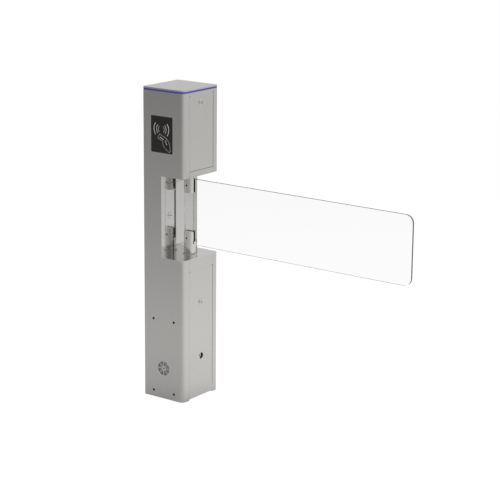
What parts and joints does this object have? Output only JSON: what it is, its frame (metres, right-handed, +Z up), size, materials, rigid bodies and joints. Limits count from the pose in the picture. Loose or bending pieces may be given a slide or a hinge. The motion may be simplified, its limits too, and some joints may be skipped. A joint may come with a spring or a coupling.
{
  "type": "glass swing barrier",
  "caption": "Access barrier with a stainless column, card reader and light strip, and a motor-driven glass wing that swings both ways in a notch.",
  "frame": {"origin": "centre of the anchor holes in the column's foot, on the floor", "axes": "+Z up; +X the way the closed glass wing points; the card reader faces -Y"},
  "size_m": [0.9252, 0.172, 1],
  "materials": {
    "satin_stainless": "304 stainless sheet, fine satin brush",
    "polished_stainless": "304 stainless, mirror polished",
    "lock_chrome": "chrome-plated zinc",
    "blue_acrylic": "blue diffusing acrylic, unlit",
    "black_acrylic": "black acrylic with a pale printed symbol",
    "clear_glass": "clear toughened glass, ground edges",
    "black_rubber": "black rubber strip",
    "red_rubber": "red polyurethane",
    "dark_screws": "black oxide",
    "zinc_plate": "zinc-plated steel",
    "bearing_steel": "ground steel",
    "cast_aluminium": "machined or cast aluminium",
    "black_paint": "black paint",
    "battery_pack": "black plastic case around lead plates",
    "black_plastic": "black moulded plastic",
    "grey_plastic": "grey moulded plastic",
    "white_board": "white circuit board",
    "green_board": "green circuit board"
  },
  "bodies": {
    "root": {"base_plate": "zinc_plate", "housing_shell": "satin_stainless", "deck_plate": "polished_stainless", "notch_wall": "polished_stainless", "ceiling_plate": "satin_stainless", "top_frame": "satin_stainless", "light_strip": "blue_acrylic", "led_board": "white_board", "lid": "satin_stainless", "lid_nuts": "zinc_plate", "door_rods": "zinc_plate", "crossbars": "satin_stainless", "key_switch": "lock_chrome", "reader_window": "black_acrylic", "reader_module": "black_plastic", "speaker": "black_plastic", "chassis_screws": "dark_screws", "chassis_plate": "cast_aluminium", "controller_board": "green_board", "power_supply": "cast_aluminium", "cable_duct": "grey_plastic", "battery": "battery_pack", "battery_bracket": "zinc_plate", "bearing_cover": "polished_stainless", "cover_plate_screws": "lock_chrome", "lower_bearing_housing": "cast_aluminium", "lower_bearings": "bearing_steel", "upper_bearing_housing": "cast_aluminium", "upper_bearing": "bearing_steel", "encoder": "black_plastic", "drive_plate": "cast_aluminium", "drive_pillars": "bearing_steel", "gearbox": "bearing_steel", "motor": "black_paint", "brake": "black_paint"},
    "wing": {"glass_panel": "clear_glass", "lower_clamp": "polished_stainless", "upper_clamp": "polished_stainless", "clamp_rubbers": "black_rubber", "clamp_screws": "dark_screws", "swing_shaft": "polished_stainless", "upper_pivot": "bearing_steel", "drive_gear": "grey_plastic", "coupling_hub": "cast_aluminium", "coupling_spider": "red_rubber", "gearbox_hub": "bearing_steel"},
    "encoder_wheel": {"encoder_pinion": "grey_plastic"},
    "lower_door": {"lower_door": "satin_stainless", "lower_lock": "lock_chrome"},
    "lower_lock_plug": {"lower_lock_plug": "lock_chrome", "lower_lock_cam": "zinc_plate"},
    "upper_door": {"upper_door": "satin_stainless", "upper_lock": "lock_chrome"},
    "upper_lock_plug": {"upper_lock_plug": "lock_chrome", "upper_lock_cam": "zinc_plate"},
    "notch_cover": {"notch_cover": "polished_stainless", "cover_lock": "lock_chrome"},
    "cover_lock_plug": {"cover_lock_plug": "lock_chrome", "cover_lock_cam": "zinc_plate"},
    "key_switch_plug": {"key_switch_plug": "lock_chrome"}
  },
  "joints": [
    {"name": "wing_swing", "type": "hinge", "parent": "root", "child": "wing", "pos_m": [0.0322, 0.008, 0.48], "axis": [0, 0, 1], "range_deg": [-90, 90]},
    {"name": "encoder_turn", "type": "hinge", "parent": "root", "child": "encoder_wheel", "pos_m": [0.0002, 0.008, 0.41], "axis": [0, 0, 1], "range_deg": [-270, 270]},
    {"name": "lower_door_tilt", "type": "hinge", "parent": "root", "child": "lower_door", "pos_m": [0.0735, 0.006, 0.016], "axis": [0, 1, 0], "range_deg": [0, 12]},
    {"name": "upper_door_tilt", "type": "hinge", "parent": "root", "child": "upper_door", "pos_m": [0.073, 0.006, 0.7325], "axis": [0, 1, 0], "range_deg": [0, 20]},
    {"name": "cover_swing", "type": "hinge", "parent": "root", "child": "notch_cover", "pos_m": [-0.011, 0.0748, 0.594], "axis": [0, 0, 1], "range_deg": [0, 12]},
    {"name": "lower_lock_turn", "type": "hinge", "parent": "lower_door", "child": "lower_lock_plug", "pos_m": [0.079, 0.0043, 0.316], "axis": [1, 0, 0], "range_deg": [0, 90]},
    {"name": "upper_lock_turn", "type": "hinge", "parent": "upper_door", "child": "upper_lock_plug", "pos_m": [0.079, 0.0043, 0.954], "axis": [1, 0, 0], "range_deg": [0, 90]},
    {"name": "cover_lock_turn", "type": "hinge", "parent": "notch_cover", "child": "cover_lock_plug", "pos_m": [-0.0075, -0.0425, 0.594], "axis": [1, 0, 0], "range_deg": [0, 90]},
    {"name": "key_switch_turn", "type": "hinge", "parent": "root", "child": "key_switch_plug", "pos_m": [0.071, 0.0067, 0.1365], "axis": [1, 0, 0], "range_deg": [0, 90]}
  ],
  "couplings": [
    {"joint": "encoder_turn", "follows": "wing_swing", "ratio": -3}
  ]
}
